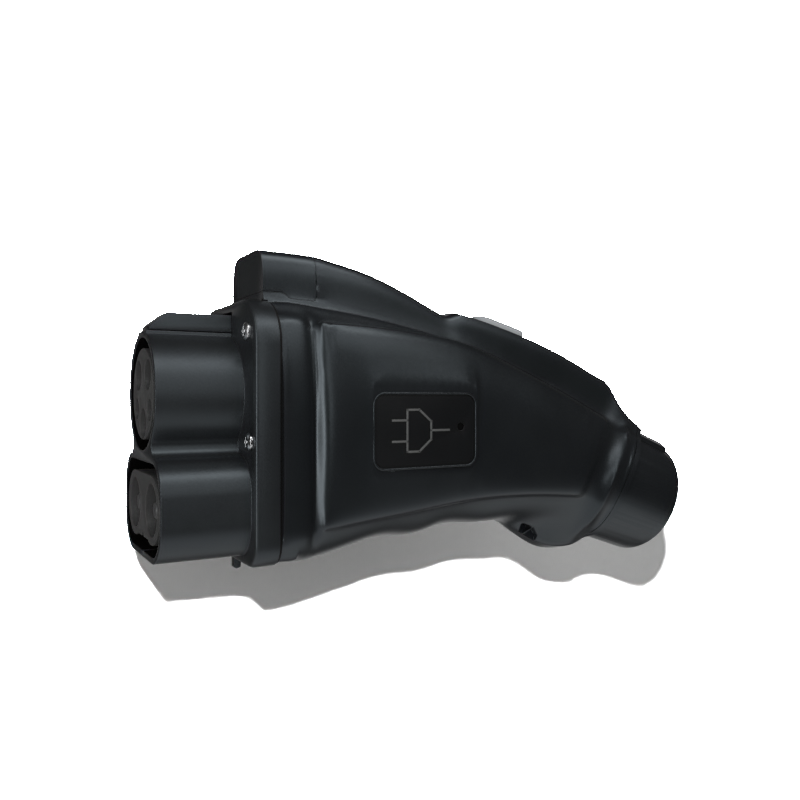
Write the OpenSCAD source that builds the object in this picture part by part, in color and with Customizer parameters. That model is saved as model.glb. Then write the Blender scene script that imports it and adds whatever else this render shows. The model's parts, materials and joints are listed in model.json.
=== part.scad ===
// Hand-held adapter for charging an electric car.
// X runs along the plug's axis from its front plane to the rear, Z is up and the camera side is -Y.
// The body is lofted along a spine that runs straight back and then bends down to the inlet barrel.

/* [Plug] */
// Outer diameter of the round upper barrel
ac_d = 45; // [43.5:0.25:46.5]
// Wall of the plug's shroud
shroud_wall = 2.1; // [1.8:0.1:2.4]
// Width of the lower lobe
dc_w = 60; // [58:0.5:62]
// Height of the top of the lower lobe below the plug's axis
dc_top = 22; // [21.5:0.25:22.5]
// Depth of the lower lobe's bottom below the plug's axis
dc_bottom = 58.5; // [57:0.5:60]
// Length of the nose in front of the flange
nose_l = 31; // [28:0.5:34]
// Depth of the open sleeve round the inserts
sleeve_depth = 26; // [22:0.5:27]
// Diameter of the round insert
ac_insert_d = 33; // [32:0.25:33.5]
// Distance between the two direct-current contacts
dc_pitch = 27.3; // [27:0.1:27.6]
// Depth of the direct-current contacts below the plug's axis
dc_drop = 40.5; // [40:0.1:41]
// Diameter of a direct-current well
dc_well_d = 18.6; // [18:0.2:19]
// Wall round a direct-current well
dc_well_wall = 2.8; // [2.4:0.1:3]
// Depth of a direct-current well
dc_well_depth = 20; // [16:0.5:22]
// Diameter of a direct-current contact
dc_contact_d = 8; // [7.5:0.1:8.5]
// Diameter of the touch tip on a direct-current contact
tip_d = 6; // [5:0.1:7]
// Web between the two open sleeves
sleeve_web = 3.7; // [3.2:0.1:4]
// How far the inserts' faces lie behind the front plane
insert_set = 0.4; // [0.2:0.1:2]

/* [Flange] */
// Width of the flange
flange_w = 68; // [66:0.5:70]
// Height of the flange's top above the plug's axis
flange_top = 34.2; // [33.5:0.1:35]
// Depth of the flange's bottom below the plug's axis
flange_bottom = 61.4; // [60.5:0.1:62.5]
// Thickness of the flange
flange_t = 9.2; // [8:0.2:10]
// Thickness of the gasket behind the flange
gasket_t = 0.8; // [0.6:0.1:1.2]
// Distance between the upper flange screws
screw_pitch_y = 53; // [52:0.5:55]
// Distance between the lower flange screws
screw_low_pitch_y = 58.4; // [56:0.2:59]
// Height of the upper flange screws
screw_top_z = 22; // [20:0.5:24]
// Depth of the lower flange screws
screw_low_z = 16.8; // [15:0.2:20]

/* [Body] */
// Tilt of the inlet barrel, downwards
tilt = 20; // [18:0.5:22]
// Length of the body's spine from the plug's front plane to the inlet's mouth
spine_l = 252.8; // [248:0.5:258]
// Width of the body behind the flange
body_w = 70; // [68:0.5:71]
// Width of the grip in front of the collar
grip_w = 54.4; // [53:0.5:57]
// How far the side panels stand out
panel_h = 3; // [2:0.1:4]
// Height of the hood above the spine
hood_h = 67.4; // [65:0.5:70]
// Width of the hood
hood_w = 36; // [34:0.5:37]
// Width of the thumb platform
platform_w = 25.2; // [24:0.2:28]
// Wall of the shells
shell_wall = 2.8; // [2.4:0.1:3.2]

/* [Thumb button] */
// Length of the button
button_l = 28; // [25:0.5:30]
// Width of the button
button_w = 13; // [11:0.5:15]
// Travel of the button
button_travel = 3.5; // [2.5:0.1:4]

/* [Latch] */
// Width of the latch arm
latch_w = 14; // [12:0.5:15]
// Height of the latch arm
latch_h = 6.4; // [5.8:0.1:7]
// Distance of the pivot from the plug's front plane
pivot_x = 58; // [56:0.5:60]
// Diameter of the pivot pin
pivot_d = 4; // [3:0.1:5]

/* [Inlet] */
// Diameter of the inlet barrel at its mouth
inlet_d = 56.4; // [54:0.2:57.5]
// Diameter of the inlet barrel under the collar
inlet_root_d = 57.8; // [57.6:0.1:58]
// Wall of the inlet barrel at its mouth
inlet_wall = 3; // [2.5:0.1:3.5]
// Depth of the socket recess
socket_depth = 20; // [17:0.5:21]

/* [Label] */
// Length of the name plate
label_l = 48; // [42:0.5:50]
// Height of the name plate
label_h = 29; // [26:0.5:31]
// Corner radius of the name plate
label_r = 4.6; // [2:0.2:6]
// Diameter of the indicator window
lens_d = 3; // [2:0.1:4]

/* [Hidden] */
$fn = 64;

charcoal = [0.17, 0.18, 0.2];
dark = [0.1, 0.1, 0.11];
grey = [0.45, 0.46, 0.47];
copper = [0.72, 0.45, 0.3];
brassy = [0.75, 0.65, 0.4];
steel = [0.7, 0.7, 0.72];

gap = 0.15;               // clearance between fixed pieces
cut = 1;                  // how far a cutting shape runs past a face
ac_r = ac_d / 2;
flange_back = nose_l + flange_t;
body_x = flange_back + gasket_t;

// The spine: straight, then an arc down to the barrel's tilt, then straight again
spine_z = -14;
bend_u = 99.4;
bend_r = 255;
bend_end_u = bend_u + bend_r * tilt * PI / 180;
function turn(u) = max(0, min(tilt, (u - bend_u) / bend_r * 180 / PI));
function spine_x(u) = min(u, bend_u) + bend_r * sin(turn(u)) + max(0, u - bend_end_u) * cos(tilt);
function spine_h(u) = spine_z - bend_r * (1 - cos(turn(u))) - max(0, u - bend_end_u) * sin(tilt);
// A point at u along the spine, y to the side and v above the spine
function at(u, y, v) = [spine_x(u) + v * sin(turn(u)), y, spine_h(u) + v * cos(turn(u))];

// Smooth step from 0 at a to 1 at b
function ease(a, b, x) = let (t = max(0, min(1, (x - a) / (b - a)))) t * t * (3 - 2 * t);
// Rounded bump of height 1 round c
function bump(c, w, x) = exp(-pow((x - c) / w, 2));
// Smooth curve through [x, value] points
function seg(x, p, i = 0) = i + 2 >= len(p) || x < p[i + 1][0] ? i : seg(x, p, i + 1);
function rise(p, i) = let (a = max(i - 1, 0), b = min(i + 1, len(p) - 1)) (p[b][1] - p[a][1]) / (p[b][0] - p[a][0]);
function guide(x, p) = let (
    i = seg(x, p),
    h = p[i + 1][0] - p[i][0],
    t = max(0, min(1, (x - p[i][0]) / h)))
    p[i][1] * (1 + 2 * t) * pow(1 - t, 2) + rise(p, i) * h * t * pow(1 - t, 2)
    + p[i + 1][1] * t * t * (3 - 2 * t) - rise(p, i + 1) * h * t * t * (1 - t);
// Greater of two radii, with a fillet of about k between them
function blend(a, b, k) = max(a, b) + pow(max(k - abs(a - b), 0), 2) / k / 4;
// Polar radius, from straight up, of a rounded rectangle w wide to the side and h high
function squircle(phi, w, h, n) = pow(pow(abs(sin(phi)) / w, n) + pow(abs(cos(phi)) / h, n), -1 / n);
// n values from a up to b, without b
function steps(a, b, n) = [for (i = [0 : n - 1]) a + (b - a) * i / n];

// Places along the spine
groove_u = body_x + 13;
panel_u = groove_u + 4;
panel_end_u = 200;
dip_u = 121.2;
platform_u = dip_u + 4.3;
platform_end_u = 199;
ring_u = spine_l - 29.4;
ring_w = 3.2;
ring_start_u = ring_u - ring_w;
bead_u = ring_u - 11;

// Guides of the outer form, each a curve along the spine
collar_r = inlet_root_d / 2 + 1.3;
half_guide = [[body_x, body_w / 2], [46, body_w / 2], [50, body_w / 2 - 0.5], [groove_u, 33.6], [64, 33.6],
    [80, 33.2], [114, 31.2], [143, 29.2], [167, 28], [186, grip_w / 2], [200, grip_w / 2], [207, collar_r - 2.4],
    [213, collar_r - 0.9], [ring_u, collar_r]];
top_guide = [[body_x, flange_top - spine_z], [52, 48.2], [64, 46.6], [80, 44.8], [114, 39], [153, 30.8],
    [186, 27], [205, 27.8], [213, collar_r - 0.7], [ring_u, collar_r]];
low_guide = [[body_x, flange_bottom + spine_z + 0.3], [54, 49.4], [64, 49], [75, 47.8], [88, 46.4], [100, 45],
    [114, 42.5], [135, 39.6], [151, 38], [171, 34], [186, 31.5], [200, 29.8],
    [213, collar_r - 0.5], [ring_u, collar_r]];
ridge_guide = [[body_x, hood_h + 0.8], [52, hood_h + 0.7], [63, hood_h + 0.1], [73.5, hood_h - 1.3],
    [83, hood_h - 3.2], [92.5, hood_h - 5.8], [101.4, hood_h - 9.4], [110, hood_h - 13.4], [117, hood_h - 16.8],
    [dip_u, 48.9], [platform_u, 51.6], [145, 50], [165, 48.4], [176, 47.2], [188, 45.6],
    [platform_end_u, 44.8], [202, 41], [206, 37.4], [211, 34.4], [217, 31.8], [ring_u, collar_r]];
ridge_w_guide = [[body_x, hood_w / 2], [61, hood_w / 2], [90, hood_w / 2 - 2.6], [dip_u, platform_w / 2],
    [platform_end_u, platform_w / 2], [205, 15], [215, 17], [ring_u, 18]];
guard_guide = [[166, 27], [171, 34], [178, 38], [188, 40.4], [198, 41.6], [207, 40.3], [215, 37], [ring_u, 30]];
top_n_guide = [[body_x, 4.2], [114, 4], [153, 3.4], [190, 2.8], [207, 2.2], [213, 2], [ring_u, 2]];
low_n_guide = [[body_x, 7], [54, 5], [64, 3.6], [100, 3.1], [170, 2.8], [205, 2.1], [213, 2], [ring_u, 2]];
fillet_guide = [[body_x, 5], [80, 7], [platform_end_u, 7], [213, 3], [ring_u, 0.6]];
panel_low_guide = [[groove_u, 134], [114, 133], [143, 129.5], [167, 125.5], [186, 122], [200, 118], [ring_u, 115]];
guard_w = 12.5;

// Angles of the body's lines, seen along the spine and counted from straight up
function edge_a(u) = atan2(guide(u, ridge_w_guide), guide(u, ridge_guide));
function foot_a(u) = atan2(guide(u, ridge_w_guide) + 3.5, guide(u, top_guide));
function panel_top_a(u) = foot_a(u) + 11.5 - 3 * ease(80, 150, u);
function panel_low_a(u) = guide(u, panel_low_guide);

// Radius of the plain body, without its raised panel, ridge and guard
function plain_r(phi, u) = cos(phi) >= 0
    ? squircle(phi, guide(u, half_guide), guide(u, top_guide), guide(u, top_n_guide))
    : squircle(phi, guide(u, half_guide), guide(u, low_guide), guide(u, low_n_guide));
// Raised side panel, framed by a channel
function panel_r(phi, u) = panel_h
    * ease(groove_u, groove_u + 4.5, u) * (1 - ease(panel_end_u - 3, panel_end_u + 3, u))
    * ease(panel_top_a(u) - 2.5, panel_top_a(u) + 3, phi)
    * (1 - ease(panel_low_a(u), panel_low_a(u) + 7, phi));
function channel_r(phi, u) = -1.5 * bump(groove_u, 2.2, u) * ease(foot_a(u), panel_top_a(u), phi)
    * (1 - ease(panel_low_a(u), panel_low_a(u) + 14, phi));
// Finger grooves along the bottom, with a swell on each side of the second one
function fingers_r(phi, u) = (2.2 * bump(109, 7, u) + 1.1 * bump(147, 7, u) - 3.6 * bump(86, 8, u))
    * ease(142, 164, phi);
function bead_r(u) = 1.9 * bump(bead_u, 3, u);
function ridge_r(phi, u) = squircle(phi, guide(u, ridge_w_guide), guide(u, ridge_guide), 9)
    - 1.3 * (1 - ease(0.62 * edge_a(u), 0.84 * edge_a(u), phi))
    * ease(platform_u, platform_u + 4, u) * (1 - ease(platform_end_u - 7, platform_end_u - 3, u));
function guard_r(phi, u) = squircle(180 - phi, guard_w, guide(u, guard_guide), 3);
function side_r(phi, u) = plain_r(phi, u) + panel_r(phi, u) + channel_r(phi, u) + fingers_r(phi, u) + bead_r(u);
function outer_r(phi, u) = phi < 90
    ? blend(side_r(phi, u), ridge_r(phi, u), guide(u, fillet_guide))
    : u < 160 ? side_r(phi, u) : blend(side_r(phi, u), guard_r(phi, u), guide(u, fillet_guide));

// The collar runs round the barrel as a saddle: further back above and below than at the sides
function saddle(phi, u) = ease(150, 205, u) * (5 * cos(phi) + 5.35 * cos(2 * phi));
// The hood's front stands a little over the flange's top
hood_out = 1.5;
function hood_front(phi, u) = u == body_x && phi < foot_a(u) ? [-hood_out, 0, 0] : [0, 0, 0];
function outer_pt(phi, u) = let (r = outer_r(phi, u))
    at(u + saddle(phi, u), r * sin(phi), r * cos(phi)) + hood_front(phi, u);

// Angles sampled round half a section, closer together where the form turns
function angles(u) = let (e = edge_a(u), f = foot_a(u), p = panel_top_a(u), q = panel_low_a(u)) concat(
    steps(0, 0.6 * e, 1), steps(0.6 * e, 0.86 * e, 2), steps(0.86 * e, 1.16 * e, 4), steps(1.16 * e, f, 3),
    steps(f, p - 2.5, 2), steps(p - 2.5, p + 3, 4), steps(p + 3, 90, 3), steps(90, q, 3),
    steps(q, q + 7, 4), steps(q + 7, 180, 6), [180]);

// Half of a lofted body, from its middle plane to +y; its ends are closed to points on the spine
module half_loft(sections, nose, tail) {
    n = len(sections[0]);
    m = len(sections);
    points = concat([for (s = sections) each s], [nose, tail]);
    skin = [for (i = [0 : m - 2], j = [0 : n - 2]) each [
        [i * n + j, i * n + j + 1, (i + 1) * n + j + 1],
        [i * n + j, (i + 1) * n + j + 1, (i + 1) * n + j]]];
    front = [for (j = [0 : n - 2]) [j + 1, j, m * n]];
    back = [for (j = [0 : n - 2]) [(m - 1) * n + j, (m - 1) * n + j + 1, m * n + 1]];
    middle = [concat([m * n], [for (i = [0 : m - 1]) i * n], [m * n + 1],
        [for (i = [m - 1 : -1 : 0]) i * n + n - 1])];
    polyhedron(points, concat(skin, front, back, middle), convexity = 10);
}

// Whole outer form of one half, from the gasket to the collar ring
stations = concat(
    steps(body_x, groove_u - 4.5, 3), [for (d = [-4.5, -2.8, -1.5, -0.6, 0.3, 1.2, 2.2, 3.4]) groove_u + d],
    steps(groove_u + 5, dip_u - 6, 7),
    steps(dip_u - 6, platform_u + 4, 6), steps(platform_u + 4, 170, 5), steps(170, platform_end_u - 8, 3),
    steps(platform_end_u - 8, bead_u - 5, 7), steps(bead_u - 5, bead_u + 5, 6), steps(bead_u + 5, ring_start_u, 2),
    [ring_start_u]);
module outer_half() half_loft([for (u = stations) [for (a = angles(u)) outer_pt(a, u)]],
    at(body_x, 0, 0), at(ring_start_u, 0, 0));

// Moves flat shapes, drawn as side and height, into place along the plug or along the barrel
module along_x(x0, l) translate([x0, 0, 0]) rotate([90, 0, 90]) linear_extrude(l) children();
module along_barrel(u0, l) translate(at(u0, 0, 0)) rotate([0, tilt, 0]) rotate([90, 0, 90])
    linear_extrude(l) children();
// A flat shape, drawn as length and height, t thick from y on
module side_plate(y, t) translate([0, y + t, 0]) rotate([90, 0, 0]) linear_extrude(t) children();
// Round rods along the plug and along the barrel
module plug_rod(x0, l, y, z, r) translate([x0, y, z]) rotate([0, 90, 0]) cylinder(h = l, r = r);
module barrel_rod(u0, l, y, v, r1, r2) translate(at(u0, y, v)) rotate([0, 90 + tilt, 0])
    cylinder(h = l, r1 = r1, r2 = r2);
// Upright rounded rectangle, w to each side, with its own lower and upper corner radius
module rounded(w, lo, hi, r_lo, r_hi) {
    translate([-w, lo + r_lo]) square([2 * w, hi - lo - r_lo - r_hi]);
    translate([-w + r_lo, lo]) square([2 * (w - r_lo), r_lo + 0.1]);
    translate([-w + r_hi, hi - r_hi - 0.1]) square([2 * (w - r_hi), r_hi + 0.1]);
    for (side = [-1, 1]) {
        translate([side * (w - r_lo), lo + r_lo]) circle(r_lo);
        translate([side * (w - r_hi), hi - r_hi]) circle(r_hi);
    }
}
module stadium(l, w) {
    square([l - w, w], center = true);
    for (side = [-1, 1]) translate([side * (l - w) / 2, 0]) circle(w / 2);
}
module mirrored() {
    children();
    mirror([0, 1, 0]) children();
}

// Nose: the round barrel, the lower lobe and the concave neck between them
neck_r = 4;
lobe_r = 13;
lobe_low_r = 14;
lobe_y = dc_w / 2 - lobe_r;
lobe_z = -dc_top - lobe_r;
lobe_far = norm([lobe_y, lobe_z]);
neck_along = (pow(ac_r + neck_r, 2) - pow(lobe_r + neck_r, 2) + pow(lobe_far, 2)) / 2 / lobe_far;
neck_side = sqrt(pow(ac_r + neck_r, 2) - pow(neck_along, 2));
neck_y = (neck_along * lobe_y - neck_side * lobe_z) / lobe_far;
neck_z = (neck_along * lobe_z + neck_side * lobe_y) / lobe_far;
module nose_outline() {
    circle(ac_r, $fn = 96);
    rounded(dc_w / 2, -dc_bottom, -dc_top, lobe_low_r, lobe_r);
    difference() {
        polygon([[0, 0], [neck_y, neck_z], [lobe_y, lobe_z], [-lobe_y, lobe_z], [-neck_y, neck_z]]);
        for (side = [-1, 1]) translate([side * neck_y, neck_z]) circle(neck_r);
    }
    translate([-latch_w / 2 - 0.1, 15]) square([latch_w + 0.2, ac_r - 14.9]);
}
sleeve_r = ac_r - shroud_wall;
module dc_sleeve_outline() rounded(dc_w / 2 - shroud_wall, shroud_wall - dc_bottom, -sleeve_r - sleeve_web,
    lobe_low_r - shroud_wall, lobe_r - shroud_wall);
// Lower insert: two round wells joined by a web, which has a small keyway below
dc_insert_r = dc_well_d / 2 + dc_well_wall;
module dc_insert_outline(grow) {
    for (side = [-1, 1]) translate([side * dc_pitch / 2, -dc_drop]) circle(dc_insert_r + grow);
    translate([-dc_pitch / 2, -dc_drop - dc_insert_r + 1.2 - grow]) square([dc_pitch, 2 * dc_insert_r - 1.2 + 2 * grow]);
}
flange_r = 9;
flange_top_r = 17;
module flange_outline(inset) rounded(flange_w / 2 - inset, inset - flange_bottom, flange_top - inset,
    flange_r - inset, flange_top_r - inset);
screw_spots = [for (side = [-1, 1]) each [[side * screw_pitch_y / 2, screw_top_z],
    [side * screw_low_pitch_y / 2, -screw_low_z]]];
screw_r = 1.7;

// Latch lever: the arm in front of the flange, the pivot in the hood, and the tail under the button
arm_gap = 0.4;
arm_z = ac_r + arm_gap;
arm_top = arm_z + latch_h;
arm_x = 1.4;
ramp_l = 6;
pivot_z = arm_z + latch_h / 2 + 1;
button_u = 149.5;
button_lean = turn(button_u) + 4;
curb_h = 1.3;
deck_v = guide(button_u, ridge_guide) - curb_h;
deck_wall = 2.5;
stem_r = 2.5;
stem_l = 13.6;
stem_end = at(button_u, 0, deck_v) - stem_l * [sin(button_lean), 0, cos(button_lean)];
tail_h = 4.6;
tail_z = stem_end[2] - 0.3;
lift_deg = atan(button_travel * cos(button_lean) / (stem_end[0] - pivot_x));
window_top = arm_top + (pivot_x - nose_l) * tan(lift_deg) + 0.4;
window_w = latch_w + 1.2;

insert_collar = 2.5;
collar_t = 3;
insert_l = flange_back - insert_set;
lug_x = nose_l + 4.4;
module front_shroud() color(charcoal) difference() {
    union() {
        along_x(0, nose_l + 1) nose_outline();
        hull() {
            along_x(nose_l, flange_t) flange_outline(1.6, $fn = 32);
            along_x(nose_l + 0.5, flange_t - 0.5) flange_outline(0.5, $fn = 32);
            along_x(nose_l + 1.6, flange_t - 1.6) flange_outline(0, $fn = 32);
        }
        side_plate(-1.7, 3.4) polygon([[lug_x - 1.6, 2 - flange_bottom], [lug_x - 1.6, -flange_bottom - 4.6],
            [lug_x - 0.6, -flange_bottom - 5.2], [lug_x + 1, -flange_bottom - 4.8], [lug_x + 1.8, 2 - flange_bottom]]);
    }
    along_x(-cut, cut + sleeve_depth) {
        circle(sleeve_r, $fn = 96);
        dc_sleeve_outline();
        translate([-1.3, 0.9 - dc_bottom]) square([2.6, 3]);
    }
    along_x(0, flange_back + cut) {
        circle(ac_insert_d / 2 + gap);
        dc_insert_outline(gap);
    }
    for (p = screw_spots) plug_rod(nose_l - cut, flange_t + 2 * cut, p[0], p[1], screw_r + 0.4);
    translate([nose_l - 0.01, -window_w / 2, ac_r + 0.2]) cube([flange_t + cut, window_w, window_top - ac_r - 0.2]);
}

// Round insert with five wells: two for mains, two for signals and one for ground
mains_spot = [7.85, 6.8];
signal_spot = [10.65, -5.6];
ground_spot = [0, -10.6];
mains_well_r = 5.5;
signal_well_r = 3.9;
ground_well_r = 5.4;
ac_well_depth = 20;
ground_contact_r = 2.8;
signal_contact_r = 1.7;
fit_gap = 0.05;
module ac_insert() color(dark) difference() {
    union() {
        plug_rod(insert_set, insert_l, 0, 0, ac_insert_d / 2);
        plug_rod(flange_back, collar_t, 0, 0, ac_insert_d / 2 + insert_collar);
    }
    for (side = [-1, 1]) {
        plug_rod(insert_set - cut, ac_well_depth + cut, side * mains_spot[0], mains_spot[1], mains_well_r);
        plug_rod(insert_set - cut, ac_well_depth + cut, side * signal_spot[0], signal_spot[1], signal_well_r);
        plug_rod(insert_set, insert_l + collar_t + cut, side * signal_spot[0], signal_spot[1],
            signal_contact_r + fit_gap);
    }
    plug_rod(insert_set - cut, ac_well_depth + cut, 0, ground_spot[1], ground_well_r);
    plug_rod(insert_set, insert_l + collar_t + cut, 0, ground_spot[1], ground_contact_r + fit_gap);
}
module dc_insert() color(dark) difference() {
    union() {
        along_x(insert_set, insert_l) dc_insert_outline(0);
        along_x(flange_back, collar_t) dc_insert_outline(insert_collar);
    }
    for (side = [-1, 1]) {
        plug_rod(insert_set - cut, dc_well_depth + cut, side * dc_pitch / 2, -dc_drop, dc_well_d / 2);
        plug_rod(insert_set, insert_l + collar_t + cut, side * dc_pitch / 2, -dc_drop, dc_contact_d / 2 + fit_gap);
    }
    plug_rod(insert_set - cut, insert_l, 0, -dc_drop - dc_insert_r + 1.2, 1.5);
}

// Contacts of the plug; the small ones are tubes that open to the front
contact_x = insert_set + 4;
contact_end = 46;
contact_bore_l = 15;
module socket_contact(spot, r, bore_r) color(brassy) difference() {
    union() {
        plug_rod(contact_x, contact_end - contact_x, spot[0], spot[1], r);
        plug_rod(flange_back + collar_t, 1.5, spot[0], spot[1], r + 1);
    }
    plug_rod(contact_x - cut, contact_bore_l + cut, spot[0], spot[1], bore_r);
}
module ground_socket() socket_contact(ground_spot, ground_contact_r, 1.45);
module pilot_socket() socket_contact([-signal_spot[0], signal_spot[1]], signal_contact_r, 0.8);
module proximity_socket() socket_contact(signal_spot, signal_contact_r, 0.8);
tip_x = insert_set + 1.2;
tip_l = 3;
bus_x = 52;
module dc_contact(side) color(brassy) {
    plug_rod(tip_x + tip_l, bus_x - tip_x - tip_l, side * dc_pitch / 2, -dc_drop, dc_contact_d / 2);
    plug_rod(flange_back + collar_t, 2, side * dc_pitch / 2, -dc_drop, dc_contact_d / 2 + 3);
}
module dc_contact_plus() dc_contact(-1);
module dc_contact_minus() dc_contact(1);
module touch_tips() color(grey) for (side = [-1, 1]) translate([tip_x, side * dc_pitch / 2, -dc_drop])
    rotate([0, 90, 0]) {
        cylinder(h = 0.6, r1 = tip_d / 2 - 0.5, r2 = tip_d / 2);
        translate([0, 0, 0.6]) cylinder(h = tip_l - 0.6, r = tip_d / 2);
    }

module flange_gasket() color(dark) along_x(flange_back, gasket_t) difference() {
    flange_outline(0.5);
    rounded(flange_w / 2 - 4.6, 4.6 - flange_bottom, flange_top - 3.2, 5, flange_top_r - 4);
    for (p = screw_spots) translate(p) circle(screw_r + 0.3);
}
// Pan-head screws with a cross slot
module pan_screw(l, r, head_r) {
    cylinder(h = l, r = r);
    difference() {
        union() {
            translate([0, 0, -1.1]) cylinder(h = 1.1, r = head_r);
            translate([0, 0, -1.8]) cylinder(h = 0.7, r1 = head_r - 0.9, r2 = head_r);
        }
        for (a = [0, 90]) rotate([0, 0, a]) translate([-head_r * 0.55, -0.4, -2]) cube([head_r * 1.1, 0.8, 1]);
    }
}
module flange_screws() color(steel) for (p = screw_spots) translate([nose_l, p[0], p[1]]) rotate([0, 90, 0])
    pan_screw(22, screw_r, 3.1);

// Hollow of one shell: the plain body drawn in by the wall, a run under the ridge, and the barrel's seat
hollow_in = shell_wall + 1.2;
hollow_end_u = 197;
neck_barrel_r = inlet_d / 2 - 3;
seat_u = 214.2;
shoulder_u = seat_u + 1;
function hollow_pt(phi, u) = let (r = plain_r(phi, u) - hollow_in) at(u, r * sin(phi), r * cos(phi));
module hollow_half() half_loft([for (u = concat([body_x], steps(body_x + 4, hollow_end_u, 11), [hollow_end_u]))
    [for (a = [0 : 12 : 180]) hollow_pt(a, u) - [u == body_x ? cut : 0, 0, 0]]],
    at(body_x - cut, 0, 0), at(hollow_end_u, 0, 0));
module on_spine(u) translate(at(u, 0, 0)) rotate([0, turn(u), 0]) children();
ridge_wall = curb_h + deck_wall;
module ridge_slab(u) on_spine(u) translate([0, -cut, 10])
    cube([0.1, guide(u, ridge_w_guide) - 3.4 + cut, guide(u, ridge_guide) - ridge_wall - 10]);
ridge_run = concat([body_x + 3], steps(61, 166, 7), [166]);
module ridge_hollow() for (i = [0 : len(ridge_run) - 2]) hull() {
    ridge_slab(ridge_run[i]);
    ridge_slab(ridge_run[i + 1]);
}
module barrel_seat() {
    barrel_rod(hollow_end_u - 2, 40, 0, 0, neck_barrel_r + 0.2, neck_barrel_r + 0.2);
    barrel_rod(seat_u - 0.1, 40, 0, 0, inlet_root_d / 2 + gap, inlet_root_d / 2 + gap);
}
// Seam of the hood's cap, seen from the side
cap_seam_z = 37.8;
cap_end_x = 61;
module cap_zone(inset) side_plate(-30, 60) offset(delta = -inset) polygon([[body_x - 5, cap_seam_z],
    [body_x + 5.7, cap_seam_z], [body_x + 9, cap_seam_z - 2.3], [cap_end_x - 1.6, cap_seam_z - 2.6],
    [cap_end_x, cap_seam_z - 1], [cap_end_x, 80], [body_x - 5, 80]]);
module on_button() translate(at(button_u, 0, deck_v)) rotate([0, button_lean, 0]) children();
module button_slot() on_button() translate([0, 0, -9]) linear_extrude(18) stadium(button_l + 0.7, button_w + 0.7);

// Inside features, each joined to the shell's wall
boss_spots = [[62, -53.5], [64, 8], [104, 2], [120, -46.5], [176, -13]];
boss_r = 4.2;
switch_x = 147;
switch_h = 6.3;
switch_z = tail_low(switch_x + 6) - (switch_x + 6 - pivot_x) * tan(lift_deg) - switch_h - 0.4;
spring_x = 120;
spring_z = 6;
module cross_rib(x0, l, z0, h) translate([x0, 0, z0]) cube([l, 32, h]);
module pivot_cheek() hull() {
    translate([pivot_x - 5, latch_w / 2 + 0.5, pivot_z - 5]) cube([10, 14, 10]);
    translate([pivot_x - 3, latch_w / 2 + 0.5, pivot_z + 5]) cube([6, 14, 2]);
}
module flange_boss(p) hull() for (dy = [0, 4]) plug_rod(body_x, 20, p[0] + dy, p[1], 4.2);
module inside_features() {
    for (p = boss_spots) translate([p[0], 0, p[1]]) rotate([-90, 0, 0]) cylinder(h = 34, r = boss_r);
    flange_boss(screw_spots[2]);
    flange_boss(screw_spots[3]);
    pivot_cheek();
    cross_rib(switch_x - 1, 14, switch_z - 2, 2);
    cross_rib(spring_x - 5, 10, spring_z - 2, 2);
}
// Pocket in the guard, parted by a thin rib
module guard_pocket() for (part = [[[-6, -34.8, 0.8], [-1.2, -35, 0.8], [-2.6, -39, 0.6]],
    [[0.6, -35, 0.8], [4.6, -37.4, 0.8], [5.6, -40, 0.6], [-0.8, -39.6, 0.6]]])
    hull() for (p = part) on_spine(186) translate([p[0], 4.5, p[1]]) rotate([-90, 0, 0])
        cylinder(h = 14, r = p[2], $fn = 16);
shell_fn = 24;
seam_gap = 0.1;
module shell_half() translate([0, seam_gap / 2, 0]) difference() {
    outer_half();
    difference() {
        union() {
            hollow_half();
            ridge_hollow();
        }
        inside_features($fn = shell_fn);
    }
    cap_zone(0);
    button_slot($fn = shell_fn);
    barrel_seat();
    guard_pocket();
    for (p = [screw_spots[2], screw_spots[3]])
        plug_rod(body_x - cut, 18, p[0], p[1], screw_r + 0.1, $fn = shell_fn);
    translate([body_x - 5, -cut, -100]) cube([5, 60, 100 + flange_top + 0.3]);
    translate([body_x - cut, -cut, ac_r - 2]) cube([5, window_w / 2 + cut, window_top - ac_r + 2]);
    translate([pivot_x, 0, pivot_z]) rotate([-90, 0, 0])
        cylinder(h = pin_l / 2 + 0.1, r = pivot_d / 2 + fit_gap, $fn = shell_fn);
}
pin_l = latch_w + 14;

// Name plate in its recess on the near side
label_u = 99.6;
label_z = -14;
label_lean = 2.7;
label_y = half_near(label_u);
function half_near(u) = guide(u, half_guide) + panel_h;
label_depth = 1;
label_t = 0.7;
lens_spot = [16.4, 1.2];
module on_label() translate([label_u, -label_y, label_z]) rotate([90, 0, label_lean]) children();
module label_outline(inset) translate([0, -label_h / 2 + inset])
    rounded(label_l / 2 - inset, 0, label_h - 2 * inset, label_r - inset, label_r - inset);
board_y = 24.6;
board_t = 1.6;
board = [80, 120, -30, -4];
module housing_near() color(charcoal) difference() {
    union() {
        mirror([0, 1, 0]) shell_half();
        for (x = [board[0] + 3, board[1] - 3], z = [board[2] + 3, board[3] - 3])
            translate([x, -board_y - fit_gap, z]) rotate([90, 0, 0]) cylinder(h = 6, r = 2.2, $fn = shell_fn);
    }
    on_label() translate([0, 0, -label_depth]) linear_extrude(10) label_outline(0, $fn = shell_fn);
    on_label() translate([lens_spot[0], lens_spot[1], -12])
        cylinder(h = 20, r = lens_d / 2 + 0.1, $fn = shell_fn);
    for (p = boss_spots) translate([p[0], cut, p[1]]) rotate([90, 0, 0])
        cylinder(h = 16, r = 1.4, $fn = shell_fn);
}
screw_head_y = 12;
module housing_far() color(charcoal) difference() {
    shell_half();
    for (p = boss_spots) translate([p[0], 0, p[1]]) rotate([-90, 0, 0]) {
        translate([0, 0, -cut]) cylinder(h = 40, r = 1.75, $fn = shell_fn);
        translate([0, 0, screw_head_y]) cylinder(h = 40, r = 3.1, $fn = shell_fn);
    }
}
module hood_cap() color(charcoal) difference() {
    intersection() {
        mirrored() outer_half();
        cap_zone(gap);
    }
    mirrored() ridge_hollow();
}
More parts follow.
